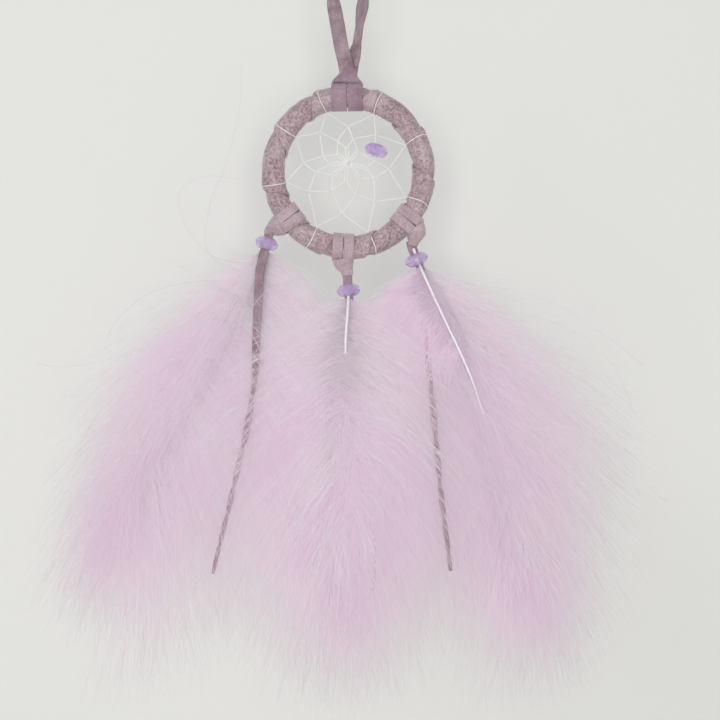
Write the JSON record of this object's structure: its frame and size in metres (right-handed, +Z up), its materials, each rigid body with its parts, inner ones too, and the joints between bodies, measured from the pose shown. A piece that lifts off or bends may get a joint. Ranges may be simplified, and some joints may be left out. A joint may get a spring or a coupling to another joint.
{
  "type": "dream catcher",
  "caption": "Small hanging dream catcher: suede-wrapped hoop with a thread web and bead, on a suede lace loop, with beaded laces and fluffy plumes below.",
  "frame": {"origin": "underside of the knot that closes the hanging loop, where a nail or hook bears", "axes": "+Z up, +X to the right seen from the front, -Y towards the viewer; the hoop's plane is XZ"},
  "size_m": [0.21, 0.0147, 0.2719],
  "materials": {
    "ring": "satin",
    "wrap_suede": "matte",
    "lace_suede": "matte",
    "thread": "matte",
    "bead": "gloss",
    "quill": "satin",
    "plume": "matte"
  },
  "bodies": {
    "hanger": {"hang_knot": "lace_suede", "knot_ends": "lace_suede", "hanger_left_leg": "lace_suede", "hanger_right_leg": "lace_suede"},
    "hanger_neck": {"hanger_neck": "lace_suede"},
    "hoop": {"ring_core": "ring", "ring_wrap": "wrap_suede", "wrap_end": "wrap_suede", "top_hitch": "lace_suede", "left_hitch": "lace_suede", "middle_hitch": "lace_suede", "right_hitch": "lace_suede", "web_thread": "thread", "web_hub": "thread", "thread_ties": "thread"},
    "web_bead": {"web_bead": "bead"},
    "left_neck": {"left_neck": "lace_suede"},
    "left_drop": {"left_tail": "lace_suede", "left_quill": "quill", "left_plume": "plume"},
    "left_bead": {"left_bead": "bead"},
    "middle_neck": {"middle_neck": "lace_suede"},
    "middle_drop": {"middle_tail": "lace_suede", "middle_quill": "quill", "middle_plume": "plume"},
    "middle_bead": {"middle_bead": "bead"},
    "right_neck": {"right_neck": "lace_suede"},
    "right_drop": {"right_tail": "lace_suede", "right_quill": "quill", "right_plume": "plume"},
    "right_bead": {"right_bead": "bead"}
  },
  "joints": [
    {"name": "hoop_twist", "type": "hinge", "parent": "hanger", "child": "hanger_neck", "pos_m": [0, 0, -0.0335], "axis": [0, 0, 1], "range_deg": [-90, 90]},
    {"name": "hoop_swing", "type": "hinge", "parent": "hanger_neck", "child": "hoop", "pos_m": [0, 0, -0.0365], "axis": [1, 0, 0], "range_deg": [-25, 25]},
    {"name": "web_bead_slide", "type": "slide", "parent": "hoop", "child": "web_bead", "axis": [0, 0, 1], "range_m": [0, 0.002]},
    {"name": "left_swing", "type": "hinge", "parent": "hoop", "child": "left_neck", "pos_m": [-0.02706, 0, -0.09196], "axis": [1, 0, 0], "range_deg": [-25, 25]},
    {"name": "left_sway", "type": "hinge", "parent": "left_neck", "child": "left_drop", "pos_m": [-0.02768, 0, -0.09428], "axis": [0, 1, 0], "range_deg": [0, 25]},
    {"name": "left_bead_spin", "type": "hinge", "parent": "left_drop", "child": "left_bead", "pos_m": [-0.0283, 0, -0.0966], "axis": [-0.2588, 0, -0.9659], "continuous": true},
    {"name": "middle_swing", "type": "hinge", "parent": "hoop", "child": "middle_neck", "pos_m": [-0.00042, 0, -0.10802], "axis": [1, 0, 0], "range_deg": [-25, 25]},
    {"name": "middle_sway", "type": "hinge", "parent": "middle_neck", "child": "middle_drop", "pos_m": [-0.00021, 0, -0.11041], "axis": [0, 1, 0], "range_deg": [-5, 5]},
    {"name": "middle_bead_spin", "type": "hinge", "parent": "middle_drop", "child": "middle_bead", "pos_m": [0, 0, -0.1128], "axis": [0.0872, 0, -0.9962], "continuous": true},
    {"name": "right_swing", "type": "hinge", "parent": "hoop", "child": "right_neck", "pos_m": [0.02188, 0, -0.09772], "axis": [1, 0, 0], "range_deg": [-25, 25]},
    {"name": "right_sway", "type": "hinge", "parent": "right_neck", "child": "right_drop", "pos_m": [0.02274, 0, -0.09996], "axis": [0, 1, 0], "range_deg": [-25, 0]},
    {"name": "right_bead_spin", "type": "hinge", "parent": "right_drop", "child": "right_bead", "pos_m": [0.0236, 0, -0.1022], "axis": [0.3584, 0, -0.9336], "continuous": true}
  ]
}
